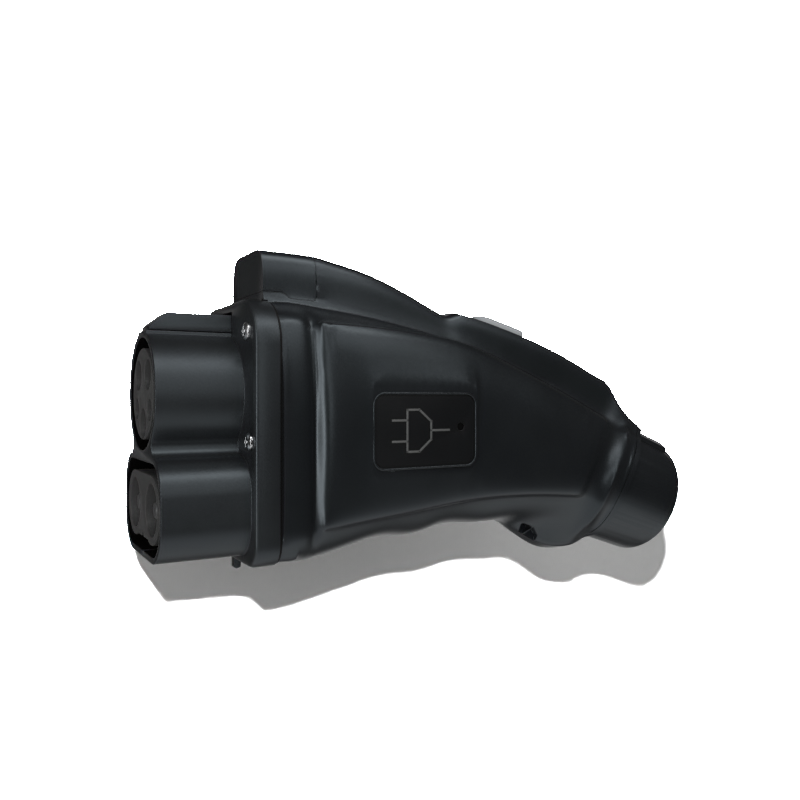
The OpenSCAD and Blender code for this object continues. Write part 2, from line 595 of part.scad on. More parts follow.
module housing_screws() color(steel) for (p = boss_spots) translate([p[0], screw_head_y + 0.1, p[1]])
    rotate([90, 0, 0]) pan_screw(24, 1.3, 2.8);
module label_plate() color(dark) on_label() translate([0, 0, fit_gap - label_depth]) difference() {
    linear_extrude(label_t) label_outline(0.2);
    translate([lens_spot[0], lens_spot[1], -cut]) cylinder(h = 4, r = lens_d / 2 + 0.1);
}
module indicator_lens() color(grey) on_label() translate([lens_spot[0], lens_spot[1], board_y - label_y + 1.2])
    cylinder(h = label_y - board_y - 1.7, r = lens_d / 2);

// Thumb button: a domed cap with a retaining rim and a stem that pushes the lever's tail
button_h = 4.4;
rim_t = 1.5;
rim_z = -deck_wall - 0.9 - rim_t;
module thumb_button() color("lightsteelblue") on_button() {
    hull() {
        translate([0, 0, rim_z]) linear_extrude(button_h - rim_z - 1.5) stadium(button_l, button_w, $fn = 32);
        translate([0, 0, rim_z]) linear_extrude(button_h - rim_z - 0.6) stadium(button_l - 1, button_w - 1, $fn = 32);
        translate([0, 0, rim_z]) linear_extrude(button_h - rim_z) stadium(button_l - 4, button_w - 4, $fn = 32);
    }
    translate([0, 0, rim_z]) linear_extrude(rim_t) stadium(button_l + 2.4, button_w + 2.4);
    translate([0, 0, stem_r - stem_l]) cylinder(h = stem_l - stem_r + rim_z + 0.5, r = stem_r);
    translate([0, 0, stem_r - stem_l]) sphere(stem_r);
}

module latch_lever() color(charcoal) difference() {
    side_plate(-latch_w / 2, latch_w) polygon([[arm_x, arm_z + 1.6], [arm_x + ramp_l, arm_top],
        [pivot_x - 9, arm_top], [pivot_x - 4, arm_top + 1.6], [pivot_x + 4, arm_top + 1.6],
        [pivot_x + 10, arm_top - 1], [stem_end[0] - 6, tail_z + 0.6], [stem_end[0] - 3, tail_z],
        [stem_end[0] + 4, tail_z], [stem_end[0] + 4, tail_z - tail_h], [pivot_x + 8, arm_z], [arm_x, arm_z]]);
    translate([pivot_x, 0, pivot_z]) rotate([90, 0, 0])
        cylinder(h = latch_w + 2 * cut, r = pivot_d / 2 + fit_gap, center = true);
    translate([arm_x + ramp_l + 2, -latch_w / 2 + 2, arm_z - cut]) cube([nose_l - arm_x - ramp_l - 5, latch_w - 4, 5.2]);
}
module latch_pin() color(steel) translate([pivot_x, 0, pivot_z]) rotate([90, 0, 0])
    cylinder(h = pin_l, r = pivot_d / 2, center = true);

// A round tube along a path; up is a direction that the path never takes
function unit(v) = v / norm(v);
module tube(path, r, sides, up) {
    n = len(path);
    ways = [for (i = [0 : n - 1]) unit(path[min(i + 1, n - 1)] - path[max(i - 1, 0)])];
    points = [for (i = [0 : n - 1]) let (s = unit(cross(up, ways[i])), t = cross(ways[i], s))
        each [for (k = [0 : sides - 1]) path[i] + r * (cos(360 * k / sides) * s + sin(360 * k / sides) * t)]];
    skin = [for (i = [0 : n - 2], k = [0 : sides - 1]) let (k2 = (k + 1) % sides) each [
        [i * sides + k, (i + 1) * sides + k, (i + 1) * sides + k2],
        [i * sides + k, (i + 1) * sides + k2, i * sides + k2]]];
    ends = [[for (k = [0 : sides - 1]) k], [for (k = [sides - 1 : -1 : 0]) (n - 1) * sides + k]];
    polyhedron(points, concat(skin, ends), convexity = 6);
}
spring_r = 2.6;
spring_turns = 5;
spring_wire = 0.4;
function tail_low(x) = arm_z + (x - pivot_x - 8) * (tail_z - tail_h - arm_z) / (stem_end[0] + 4 - pivot_x - 8);
spring_top = tail_low(spring_x) - 0.7;
module latch_spring() color(steel) {
    h = spring_top - spring_z - 2 * spring_wire - 0.3;
    tube([for (k = [0 : spring_turns * 12]) [spring_x + spring_r * cos(k * 30), spring_r * sin(k * 30),
        spring_z + spring_wire + 0.1 + h * k / spring_turns / 12]], spring_wire, 5, [0, 0, 1]);
}
module micro_switch() color(dark) {
    translate([switch_x, -3, switch_z + fit_gap]) cube([12, 6, switch_h - 1.6]);
    translate([switch_x + 6, 0, switch_z + switch_h - 1.6]) cylinder(h = 1.5, r = 1.2);
}
module control_board() color("darkgreen") translate([board[0], -board_y, board[2]]) {
    cube([board[1] - board[0], board_t, board[3] - board[2]]);
    for (p = [[8, 6, 9, 7], [24, 5, 6, 6], [10, 18, 14, 4]]) translate([p[0], board_t, p[1]]) cube([p[2], 2, p[3]]);
}

// Inlet: round barrel with a flat key along its top, and the socket inside it
barrel_floor_u = 218;
key_r = inlet_root_d / 2 + 1.3;
key_w = 34;
key_curve_r = 36;
barrel_bore_r = inlet_d / 2 - inlet_wall;
module barrel_key() difference() {
    intersection() {
        barrel_rod(225, spine_l - 3.5 - 225, 0, 0, key_r, key_r);
        along_barrel(225, spine_l - 225) translate([-key_w / 2, 15]) square([key_w, 20]);
    }
    translate(at(ring_u + 10.35 + gap - key_curve_r, 0, 0)) rotate([0, tilt, 0]) cylinder(h = 40, r = key_curve_r);
}
module inlet_barrel() color(charcoal) difference() {
    union() {
        barrel_rod(shoulder_u, spine_l - shoulder_u, 0, 0, inlet_root_d / 2, inlet_d / 2);
        barrel_rod(200, shoulder_u - 200 + cut, 0, 0, neck_barrel_r, neck_barrel_r);
        barrel_key();
    }
    barrel_rod(barrel_floor_u, 60, 0, 0, barrel_bore_r, barrel_bore_r);
    barrel_rod(199, 60, 0, 0, barrel_bore_r - 3.7, barrel_bore_r - 3.7);
    for (side = [-1, 1]) along_barrel(225, 40) translate([side * (key_w / 2 + 0.4) - 0.4, 22])
        square([0.8, 6]);
}
// A band that follows the saddle edge, as a loft of rings round the barrel
band_r = inlet_root_d / 2 + gap;
band_start_u = ring_start_u + 0.3;
band = [[band_start_u, 0], [band_start_u, 1], [ring_u - ring_w / 2, 1], [ring_u, 1], [ring_u, 0]];
band_n = 60;
module collar_ring() color(charcoal) {
    m = len(band);
    points = [for (k = [0 : band_n - 1], b = band) let (phi = 360 * k / band_n, a = phi > 180 ? 360 - phi : phi,
        r = b[1] > 0 ? outer_r(a, b[0]) : band_r) at(b[0] + saddle(a, b[0]), r * sin(phi), r * cos(phi))];
    polyhedron(points, [for (k = [0 : band_n - 1], j = [0 : m - 1])
        let (k2 = (k + 1) % band_n * m, j2 = (j + 1) % m) each [[k * m + j, k2 + j2, k * m + j2],
        [k * m + j, k2 + j, k2 + j2]]], convexity = 6);
}
module inlet_gasket() color(dark) difference() {
    barrel_rod(seat_u, 0.9, 0, 0, inlet_root_d / 2 - 0.3, inlet_root_d / 2 - 0.3);
    barrel_rod(seat_u - cut, 4, 0, 0, neck_barrel_r + fit_gap, neck_barrel_r + fit_gap);
}
insert_end_u = spine_l - 4.8;
socket_u = insert_end_u - socket_depth;
power_spot = [8.6, 3.4];
inlet_signal_spot = [7.2, -8];
inlet_ground_v = -5;
power_pin_r = 4;
inlet_ground_r = 2.3;
inlet_signal_r = 1.4;
module socket_outline() {
    rounded(17, -3.5, 10.5, 3, 7);
    rounded(12.5, -13.5, 0, 5.5, 0.5);
}
module inlet_insert() color(dark) difference() {
    barrel_rod(barrel_floor_u + fit_gap, insert_end_u - barrel_floor_u, 0, 0, barrel_bore_r - gap, barrel_bore_r - gap);
    along_barrel(socket_u, socket_depth + cut) socket_outline();
    for (side = [-1, 1]) {
        barrel_rod(210, 30, side * power_spot[0], power_spot[1], power_pin_r + fit_gap, power_pin_r + fit_gap);
        barrel_rod(210, 30, side * inlet_signal_spot[0], inlet_signal_spot[1], inlet_signal_r + fit_gap,
            inlet_signal_r + fit_gap);
    }
    barrel_rod(210, 30, 0, inlet_ground_v, inlet_ground_r + fit_gap, inlet_ground_r + fit_gap);
}
// A contact pin of the inlet, with a bevelled tip and a collar behind the socket's floor
module inlet_pin(y, v, r, tail_u, l) translate(at(tail_u, y, v)) rotate([0, 90 + tilt, 0]) rotate_extrude() {
    step = barrel_floor_u - tail_u;
    end = socket_u + l - tail_u;
    polygon([[0, 0], [r, 0], [r, step - 2], [r + 1, step - 2], [r + 1, step], [r, step], [r, end - 1],
        [r - 0.8, end], [0, end]]);
}
power_tail_u = 206;
ground_tail_u = 208;
signal_tail_u = 209;
module inlet_power_pins() color(brassy) for (side = [-1, 1])
    inlet_pin(side * power_spot[0], power_spot[1], power_pin_r, power_tail_u, 13);
module inlet_ground_pin() color(brassy) inlet_pin(0, inlet_ground_v, inlet_ground_r, ground_tail_u, 13);
module inlet_signal_pins() color(brassy) for (side = [-1, 1])
    inlet_pin(side * inlet_signal_spot[0], inlet_signal_spot[1], inlet_signal_r, signal_tail_u, 11);

// Copper bars from the plug's contacts to the inlet's power pins, one each side of the middle
bar_t = 3;
bar_y = dc_pitch / 2 - bar_t / 2;
bar_top = at(power_tail_u - 2, 0, 5);
bar_low = at(power_tail_u - 2, 0, -3);
module busbar(side) color(copper) {
    side_plate(side > 0 ? bar_y : -bar_y - bar_t, bar_t) polygon([[bus_x + 1, 4 - dc_drop], [bus_x + 1, -dc_drop - 4],
        [bar_low[0], bar_low[2]], [bar_top[0], bar_top[2]]]);
    translate([bus_x, side * dc_pitch / 2 - 6, -dc_drop - 6]) cube([bar_t, 12, 12]);
    along_barrel(power_tail_u - bar_t, bar_t) translate([side > 0 ? power_spot[0] - 4 : -bar_y - bar_t, -2.6])
        square([bar_y + bar_t - power_spot[0] + 4, 12]);
}
module busbar_plus() busbar(-1);
module busbar_minus() busbar(1);
// Inner leads from the small contacts to the inlet's small pins
lead_gap = 0.05;
ground_end = at(ground_tail_u - lead_gap, 0, inlet_ground_v);
signal_end = at(signal_tail_u - lead_gap, 0, inlet_signal_spot[1]);
module ground_lead() color("green") tube([[contact_end + lead_gap, 0, ground_spot[1]], [56, 0, ground_spot[1]],
    [80, 0, -11], [110, 0, -13.5], [140, 0, -20], [165, 0, -27.5], [185, 0, -34.2], ground_end], 2.1, 8, [0, 1, 0]);
module signal_leads() color("orange") for (side = [-1, 1])
    tube([for (p = [[contact_end + lead_gap, -5.6], [56, -5.6], [80, -6.6], [110, -10.6], [140, -18.6], [165, -28.2],
        [185, -36.8], [signal_end[0], signal_end[2]]]) let (k = ease(60, 190, p[0]))
        [p[0], side * (signal_spot[0] * (1 - k) + inlet_signal_spot[0] * k), p[1]]], 1.1, 8, [0, 1, 0]);

front_shroud();
ac_insert();
dc_insert();
ground_socket();
pilot_socket();
proximity_socket();
dc_contact_plus();
dc_contact_minus();
touch_tips();
flange_gasket();
flange_screws();
housing_near();
housing_far();
hood_cap();
housing_screws();
label_plate();
indicator_lens();
thumb_button();
latch_lever();
latch_pin();
latch_spring();
micro_switch();
control_board();
busbar_plus();
busbar_minus();
ground_lead();
signal_leads();
collar_ring();
inlet_barrel();
inlet_insert();
inlet_power_pins();
inlet_ground_pin();
inlet_signal_pins();
inlet_gasket();
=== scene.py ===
"""Looks of the car charging adapter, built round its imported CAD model."""

import json
import math

import bpy
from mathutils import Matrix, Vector

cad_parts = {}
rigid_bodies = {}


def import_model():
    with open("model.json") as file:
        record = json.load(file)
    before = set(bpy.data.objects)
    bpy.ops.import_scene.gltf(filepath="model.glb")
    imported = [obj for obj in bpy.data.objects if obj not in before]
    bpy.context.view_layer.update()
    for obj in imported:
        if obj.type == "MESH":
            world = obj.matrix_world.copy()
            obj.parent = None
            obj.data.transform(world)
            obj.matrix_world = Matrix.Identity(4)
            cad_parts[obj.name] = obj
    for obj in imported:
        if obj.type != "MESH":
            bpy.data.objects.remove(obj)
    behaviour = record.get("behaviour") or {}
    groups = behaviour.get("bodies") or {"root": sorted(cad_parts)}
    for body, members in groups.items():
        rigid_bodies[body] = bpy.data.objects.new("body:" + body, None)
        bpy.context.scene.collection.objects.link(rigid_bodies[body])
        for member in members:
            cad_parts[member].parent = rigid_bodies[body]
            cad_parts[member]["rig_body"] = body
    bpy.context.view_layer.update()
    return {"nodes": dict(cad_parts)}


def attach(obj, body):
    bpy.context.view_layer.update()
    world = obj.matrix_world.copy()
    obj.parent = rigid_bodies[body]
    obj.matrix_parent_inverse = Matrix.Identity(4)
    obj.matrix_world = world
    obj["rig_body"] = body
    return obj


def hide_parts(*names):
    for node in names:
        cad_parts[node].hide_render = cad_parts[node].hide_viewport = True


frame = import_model()
nodes = frame["nodes"]
scene = bpy.context.scene
scene.view_settings.view_transform = "Standard"

# Camera, fitted to the photograph
CAMERA_PLACE = (-0.0586, -0.29026, -0.0015)
CAMERA_WAY = (0.497, 0.868, 0)
CAMERA_LENS = 35.01
CAMERA_SHIFT_Y = -0.0025
CAMERA_NEAREST = 0.01
camera = bpy.data.objects.new("camera", bpy.data.cameras.new("camera"))
scene.collection.objects.link(camera)
camera.location = CAMERA_PLACE
camera.rotation_euler = Vector(CAMERA_WAY).to_track_quat("-Z", "Y").to_euler()
camera.data.lens = CAMERA_LENS
camera.data.shift_y = CAMERA_SHIFT_Y
camera.data.clip_start = CAMERA_NEAREST
scene.camera = camera


# Materials

def new_group(name, sockets, results):
    """An empty node group with its inputs, as (name, type, default), and its outputs, as (name, type)."""
    group = bpy.data.node_groups.new(name, "ShaderNodeTree")
    for title, kind, default in sockets:
        socket = group.interface.new_socket(title, in_out="INPUT", socket_type=kind)
        socket.default_value = default
    for title, kind in results:
        group.interface.new_socket(title, in_out="OUTPUT", socket_type=kind)
    start = group.nodes.new("NodeGroupInput")
    end = group.nodes.new("NodeGroupOutput")
    return group, start, end


def moulded_grain_group():
    """Fine grain of a spark-eroded mould or of plating, as a bumped normal."""
    group, start, end = new_group(
        "moulded_grain",
        [("Scale", "NodeSocketFloat", 2600.0), ("Height", "NodeSocketFloat", 0.00001)],
        [("Normal", "NodeSocketVector")],
    )
    place = group.nodes.new("ShaderNodeTexCoord")
    grain = group.nodes.new("ShaderNodeTexNoise")
    grain.inputs["Detail"].default_value = 3
    grain.inputs["Roughness"].default_value = 0.6
    bump = group.nodes.new("ShaderNodeBump")
    bump.inputs["Strength"].default_value = 1
    group.links.new(place.outputs["Object"], grain.inputs["Vector"])
    group.links.new(start.outputs["Scale"], grain.inputs["Scale"])
    group.links.new(start.outputs["Height"], bump.inputs["Distance"])
    group.links.new(grain.outputs["Fac"], bump.inputs["Height"])
    group.links.new(bump.outputs["Normal"], end.inputs["Normal"])
    return group


def handling_group():
    """Broad, soft patches where hands have polished or dulled a surface."""
    group, start, end = new_group(
        "handling",
        [
            ("Scale", "NodeSocketFloat", 28.0),
            ("Low", "NodeSocketFloat", 0.3),
            ("High", "NodeSocketFloat", 0.4),
        ],
        [("Value", "NodeSocketFloat"), ("Mask", "NodeSocketFloat")],
    )
    place = group.nodes.new("ShaderNodeTexCoord")
    patches = group.nodes.new("ShaderNodeTexNoise")
    patches.inputs["Detail"].default_value = 4
    patches.inputs["Roughness"].default_value = 0.55
    spread = group.nodes.new("ShaderNodeMapRange")
    spread.inputs["From Min"].default_value = 0.35
    spread.inputs["From Max"].default_value = 0.65
    group.links.new(place.outputs["Object"], patches.inputs["Vector"])
    group.links.new(start.outputs["Scale"], patches.inputs["Scale"])
    group.links.new(patches.outputs["Fac"], spread.inputs["Value"])
    group.links.new(start.outputs["Low"], spread.inputs["To Min"])
    group.links.new(start.outputs["High"], spread.inputs["To Max"])
    group.links.new(spread.outputs["Result"], end.inputs["Value"])
    group.links.new(patches.outputs["Fac"], end.inputs["Mask"])
    return group


GRAIN = moulded_grain_group()
HANDLING = handling_group()
MOULD_GRAIN = (2600, 0.00001)
PLATE_GRAIN = (5200, 0.00001)
SILVER_GRAIN = (900, 0.000008)
COPPER_GRAIN = (1400, 0.00001)
ZINC_GRAIN = (1800, 0.000006)
PLAIN = (1, 1, 1)
COOL = (0.8, 0.92, 1)
BLACK_PLASTIC_SPECULAR = 0.85


def finish(name, dark, light, rough, grain=MOULD_GRAIN, metallic=0.0, specular=0.5, tint=PLAIN):
    """A material that varies softly from dark to light and in roughness, with a grain (scale, height)."""
    material = bpy.data.materials.new(name)
    material.use_nodes = True
    tree = material.node_tree
    shader = tree.nodes["Principled BSDF"]
    shader.inputs["Metallic"].default_value = metallic
    shader.inputs["Specular IOR Level"].default_value = specular
    shader.inputs["Specular Tint"].default_value = (*tint, 1)
    handling = tree.nodes.new("ShaderNodeGroup")
    handling.node_tree = HANDLING
    handling.inputs["Low"].default_value = rough[0]
    handling.inputs["High"].default_value = rough[1]
    colours = tree.nodes.new("ShaderNodeMix")
    colours.data_type = "RGBA"
    mask, first, second, mixed = colours.inputs[0], colours.inputs[6], colours.inputs[7], colours.outputs[2]
    first.default_value = (*dark, 1)
    second.default_value = (*light, 1)
    texture = tree.nodes.new("ShaderNodeGroup")
    texture.node_tree = GRAIN
    texture.inputs["Scale"].default_value = grain[0]
    texture.inputs["Height"].default_value = grain[1]
    tree.links.new(handling.outputs["Mask"], mask)
    tree.links.new(mixed, shader.inputs["Base Color"])
    tree.links.new(handling.outputs["Value"], shader.inputs["Roughness"])
    tree.links.new(texture.outputs["Normal"], shader.inputs["Normal"])
    return material


SHELL = finish("charcoal_shell", (0.0056, 0.0060, 0.0070), (0.0080, 0.0085, 0.0096), (0.30, 0.36),
               specular=BLACK_PLASTIC_SPECULAR, tint=COOL)
NOSE = finish("charcoal_nose", (0.0090, 0.0092, 0.0100), (0.0120, 0.0122, 0.0130), (0.34, 0.42),
              specular=BLACK_PLASTIC_SPECULAR, tint=COOL)
# Near-black, rough and barely glossy material for the insides of the sleeves: painted shade in the recesses
PAINTED_SLEEVE_SHADE = finish("painted_sleeve_shade", (0.0010, 0.0010, 0.0010), (0.0014, 0.0014, 0.0014), (0.7, 0.8),
                specular=0.05)
INSULATOR = finish("insulator_grey", (0.038, 0.0385, 0.0382), (0.048, 0.0485, 0.048), (0.45, 0.55))
PLATE = finish("name_plate", (0.0040, 0.0043, 0.0050), (0.0052, 0.0056, 0.0064), (0.42, 0.5),
               PLATE_GRAIN, specular=0.35)
SEAL = finish("seal_rubber", (0.0030, 0.0030, 0.0030), (0.0045, 0.0045, 0.0045), (0.55, 0.7),
              specular=0.3)
BUTTON = finish("button_grey", (0.33, 0.35, 0.36), (0.39, 0.41, 0.42), (0.45, 0.55), specular=0.1)
TIP = finish("touch_tip", (0.045, 0.046, 0.047), (0.06, 0.061, 0.062), (0.35, 0.45))
SILVER = finish("silver_plating", (0.66, 0.64, 0.60), (0.80, 0.78, 0.74), (0.22, 0.36),
                SILVER_GRAIN, metallic=1.0)
COPPER = finish("copper_bar", (0.55, 0.27, 0.17), (0.70, 0.38, 0.25), (0.28, 0.42),
                COPPER_GRAIN, metallic=1.0)
ZINC = finish("bright_zinc", (0.62, 0.63, 0.64), (0.80, 0.81, 0.82), (0.14, 0.28),
              ZINC_GRAIN, metallic=1.0)
BOARD = finish("solder_resist", (0.01, 0.06, 0.03), (0.015, 0.08, 0.04), (0.3, 0.4))
LEAD_GREEN = finish("lead_green", (0.06, 0.22, 0.03), (0.08, 0.28, 0.04), (0.4, 0.5))
LEAD_ORANGE = finish("lead_orange", (0.5, 0.11, 0.01), (0.6, 0.14, 0.02), (0.4, 0.5))
STROKE = finish("sign_paint", (0.08, 0.083, 0.082), (0.10, 0.103, 0.102), (0.45, 0.55))
WINDOW = finish("dark_window", (0.002, 0.002, 0.002), (0.003, 0.003, 0.003), (0.12, 0.2))


# Shaping helpers
WELD_GAP = 2e-6
FLAT_DEG = 0.3
QUAD_FACE_DEG = 40
QUAD_SHAPE_DEG = 120
GUARD_RINGS = 3


def only(piece):
    """Selects one object and makes it active."""
    bpy.ops.object.select_all(action="DESELECT")
    piece.select_set(True)
    bpy.context.view_layer.objects.active = piece


def merged_copy(node, material, flat_deg=FLAT_DEG):
    """A copy of a CAD node with its loose triangles joined, which stands for the node."""
    piece = bpy.data.objects.new("shown_" + node, nodes[node].data.copy())
    scene.collection.objects.link(piece)
    only(piece)
    bpy.ops.object.mode_set(mode="EDIT")
    bpy.ops.mesh.select_all(action="SELECT")
    bpy.ops.mesh.remove_doubles(threshold=WELD_GAP)
    if flat_deg:
        bpy.ops.mesh.dissolve_limited(angle_limit=math.radians(flat_deg))
    bpy.ops.object.mode_set(mode="OBJECT")
    piece.data.materials.clear()
    piece.data.materials.append(material)
    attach(piece, nodes[node]["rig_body"])
    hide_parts(node)
    return piece


def smooth(piece, deg=30):
    """Smooth shading, except across edges sharper than the given angle."""
    only(piece)
    bpy.ops.object.shade_smooth_by_angle(angle=math.radians(deg))


def soften(piece, width, segments=3, deg=30):
    """Rounds the sharp edges a little and applies the modifier."""
    only(piece)
    rounding = piece.modifiers.new("rounded_edges", "BEVEL")
    rounding.width = width
    rounding.segments = segments
    rounding.limit_method = "ANGLE"
    rounding.angle_limit = math.radians(deg)
    bpy.ops.object.modifier_apply(modifier=rounding.name)


def select_sharp(deg):
    """In edit mode, selects just the edges sharper than the given angle."""
    bpy.ops.mesh.select_all(action="DESELECT")
    bpy.ops.mesh.select_mode(type="EDGE")
    bpy.ops.mesh.edges_select_sharp(sharpness=math.radians(deg))


def refine(piece, rounds, levels=2, crease_deg=32):
    """Turns a loft's triangles into quads, subdivides them and eases all but its sharp edges."""
    only(piece)
    bpy.ops.object.mode_set(mode="EDIT")
    bpy.ops.mesh.select_all(action="SELECT")
    bpy.ops.mesh.tris_convert_to_quads(
        face_threshold=math.radians(QUAD_FACE_DEG), shape_threshold=math.radians(QUAD_SHAPE_DEG))
    select_sharp(crease_deg)
    bpy.ops.transform.edge_crease(value=1)
    bpy.ops.object.mode_set(mode="OBJECT")
    rounding = piece.modifiers.new("smooth_surface", "SUBSURF")
    rounding.levels = levels
    rounding.render_levels = levels
    bpy.ops.object.modifier_apply(modifier=rounding.name)
    bpy.ops.object.mode_set(mode="EDIT")
    select_sharp(crease_deg)
    for _ in range(GUARD_RINGS):
        bpy.ops.mesh.select_more()
    bpy.ops.mesh.select_all(action="INVERT")
    bpy.ops.mesh.vertices_smooth(factor=0.5, repeat=rounds)
    bpy.ops.object.mode_set(mode="OBJECT")


def paint_shade(piece, material, inside):
    """Gives the faces for which inside(centre, normal) is true a second, darker material, as painted shade.
    """
    piece.data.materials.append(material)
    for face in piece.data.polygons:
        if inside(face.center, face.normal):
            face.material_index = len(piece.data.materials) - 1


# The plug's sleeves, whose walls and floors get painted shade: a round one round the middle, and a wide one
# below the waist
SLEEVE_R = 0.0205
WAIST_Z = -0.0205
LOBE_Z = -0.0405
LOBE_HALF_W = 0.0292
LOBE_BOTTOM = -0.0568
LOBE_FLATNESS = 0.5
RIM_X = 0.0006
SLEEVE_END_X = 0.039
FLOOR_X = 0.032
SQUARE_ON = 0.9


def in_sleeve(centre, normal):
    """True for the walls and floors of the plug's two sleeves, behind their rims."""
    if centre.z > WAIST_Z:
        out = Vector((0, centre.y, centre.z))
        near = out.length < SLEEVE_R
    else:
        out = Vector((0, centre.y * LOBE_FLATNESS, centre.z - LOBE_Z))
        near = abs(centre.y) < LOBE_HALF_W and centre.z > LOBE_BOTTOM
    wall = normal.dot(out) < 0 and abs(normal.x) < SQUARE_ON
    floor = normal.x < -SQUARE_ON and centre.x > FLOOR_X
    return RIM_X < centre.x < SLEEVE_END_X and near and (wall or floor)


# Crisp pieces that stand for CAD nodes, with the width of their rounded edges
for node, material, slot, width in (
    ("front_shroud", NOSE, "shell", 0.0004),
    ("ac_insert", INSULATOR, "insulator", 0.0003),
    ("dc_insert", INSULATOR, "insulator", 0.0003),
    ("thumb_button", BUTTON, "button", 0.0),
    ("latch_lever", NOSE, "shell", 0.0005),
    ("touch_tips", TIP, "tip", 0.0),
    ("flange_gasket", SEAL, "seal", 0.0),
    ("flange_screws", ZINC, "steel", 0.00012),
    ("housing_screws", ZINC, "steel", 0.00012),
    ("inlet_barrel", SHELL, "shell", 0.0004),
    ("inlet_insert", INSULATOR, "insulator", 0.0003),
    ("inlet_power_pins", SILVER, "contact", 0.0),
    ("inlet_ground_pin", SILVER, "contact", 0.0),
    ("inlet_signal_pins", SILVER, "contact", 0.0),
    ("ground_socket", SILVER, "contact", 0.0),
    ("pilot_socket", SILVER, "contact", 0.0),
    ("proximity_socket", SILVER, "contact", 0.0),
    ("dc_contact_plus", SILVER, "contact", 0.0),
    ("dc_contact_minus", SILVER, "contact", 0.0),
    ("indicator_lens", WINDOW, "window", 0.0),
    ("label_plate", PLATE, "plate", 0.00015),
):
    piece = merged_copy(node, material)
    if width:
        soften(piece, width)
    smooth(piece)
    if node == "front_shroud":
        # The sleeves' walls and floors take the near-black material: painted shade in their recesses
        paint_shade(piece, PAINTED_SLEEVE_SHADE, in_sleeve)

# Lofted pieces that stand for CAD nodes, with the rounds of easing they get
LOFT_SMOOTH_DEG = 35
for node, rounds in (("housing_near", 36), ("housing_far", 36), ("hood_cap", 4), ("collar_ring", 0)):
    piece = merged_copy(node, SHELL, 0)
    if rounds:
        refine(piece, rounds)
    smooth(piece, LOFT_SMOOTH_DEG)

# Inner pieces that show as they are
for node, material in (
    ("latch_pin", ZINC),
    ("latch_spring", ZINC),
    ("micro_switch", SEAL),
    ("control_board", BOARD),
    ("busbar_plus", COPPER),
    ("busbar_minus", COPPER),
    ("ground_lead", LEAD_GREEN),
    ("signal_leads", LEAD_ORANGE),
    ("inlet_gasket", SEAL),
):
    nodes[node].data.materials.clear()
    nodes[node].data.materials.append(material)


# Name plate: a bead round it and a plain plug sign in place of the photographed lettering
MM = 0.001
PLATE_X = 0.0996
PLATE_Z = -0.014
PLATE_TURN = math.radians(2.7)
PLATE_W = 0.048
PLATE_H = 0.029
PLATE_R = 0.0046
PLATE_CORNER_STEPS = 8
BEAD_R = 0.00042
BEAD_LIFT = 0.0001
BEAD_RESOLUTION = 3
BEAD_SMOOTH_DEG = 60
STROKE_W = 0.00085
STROKE_H = 0.0004
STROKE_EDGE = 0.0001
# The sign's strokes, each from one point to another, in millimetres from the plate's middle
PLUG_SIGN = (
    ((-15.5, 4), (-9, 4)),
    ((-15.5, -4), (-9, -4)),
    ((-9, -8), (-9, 8)),
    ((-9, 8), (-3.5, 8)),
    ((-3.5, 8), (2, 3.5)),
    ((2, 3.5), (2, -3.5)),
    ((2, -3.5), (-3.5, -8)),
    ((-3.5, -8), (-9, -8)),
    ((2, 0), (10.5, 0)),
)

plate_faces = bpy.data.objects["shown_label_plate"].data.polygons
plate_face = max(plate_faces, key=lambda face: -face.normal.y * face.area)
plate_way = Vector((math.sin(PLATE_TURN), -math.cos(PLATE_TURN), 0))
plate_across = Vector((math.cos(PLATE_TURN), math.sin(PLATE_TURN), 0))
plate_middle = Vector((PLATE_X, 0, PLATE_Z))
plate_middle.y = plate_face.center.y + (PLATE_X - plate_face.center.x) * math.tan(PLATE_TURN)
plate_body = nodes["label_plate"]["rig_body"]


def on_plate(across, up, lift=0.0):
    """The point across and up from the plate's middle, lifted from its face."""
    return plate_middle + plate_across * across + Vector((0, 0, up)) + plate_way * lift


strokes = []
for start, end in PLUG_SIGN:
    reach = math.dist(start, end) * MM + STROKE_W
    middle = on_plate((start[0] + end[0]) / 2 * MM, (start[1] + end[1]) / 2 * MM)
    lean = math.atan2(end[1] - start[1], end[0] - start[0])
    bpy.ops.mesh.primitive_cube_add(size=1, location=middle, rotation=(0, -lean, PLATE_TURN))
    stroke = bpy.context.object
    stroke.scale = (reach, STROKE_H, STROKE_W)
    bpy.ops.object.transform_apply(location=True, rotation=True, scale=True)
    strokes.append(stroke)
bpy.ops.object.select_all(action="DESELECT")
for stroke in strokes:
    stroke.select_set(True)
bpy.context.view_layer.objects.active = strokes[0]
bpy.ops.object.join()
sign = bpy.context.object
sign.name = "plug_sign"
sign.data.materials.append(STROKE)
soften(sign, STROKE_EDGE, 2)
smooth(sign)
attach(sign, plate_body)

bpy.ops.object.select_all(action="DESELECT")
bpy.ops.mesh.primitive_plane_add(size=1, location=on_plate(0, 0, BEAD_LIFT),
                                 rotation=(math.pi / 2, 0, PLATE_TURN))
bead = bpy.context.object
bead.name = "plate_bead"
bead.scale = (PLATE_W - BEAD_R, PLATE_H - BEAD_R, 1)
bpy.ops.object.transform_apply(location=True, rotation=True, scale=True)
bpy.ops.object.mode_set(mode="EDIT")
bpy.ops.mesh.select_all(action="SELECT")
bpy.ops.mesh.bevel(offset=PLATE_R, segments=PLATE_CORNER_STEPS, affect="VERTICES")
bpy.ops.mesh.select_all(action="SELECT")
bpy.ops.mesh.delete(type="ONLY_FACE")
bpy.ops.object.mode_set(mode="OBJECT")
bpy.ops.object.convert(target="CURVE")
bead.data.bevel_depth = BEAD_R
bead.data.bevel_resolution = BEAD_RESOLUTION
bpy.ops.object.convert(target="MESH")
bead.data.materials.clear()
bead.data.materials.append(SHELL)
smooth(bead, BEAD_SMOOTH_DEG)
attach(bead, plate_body)


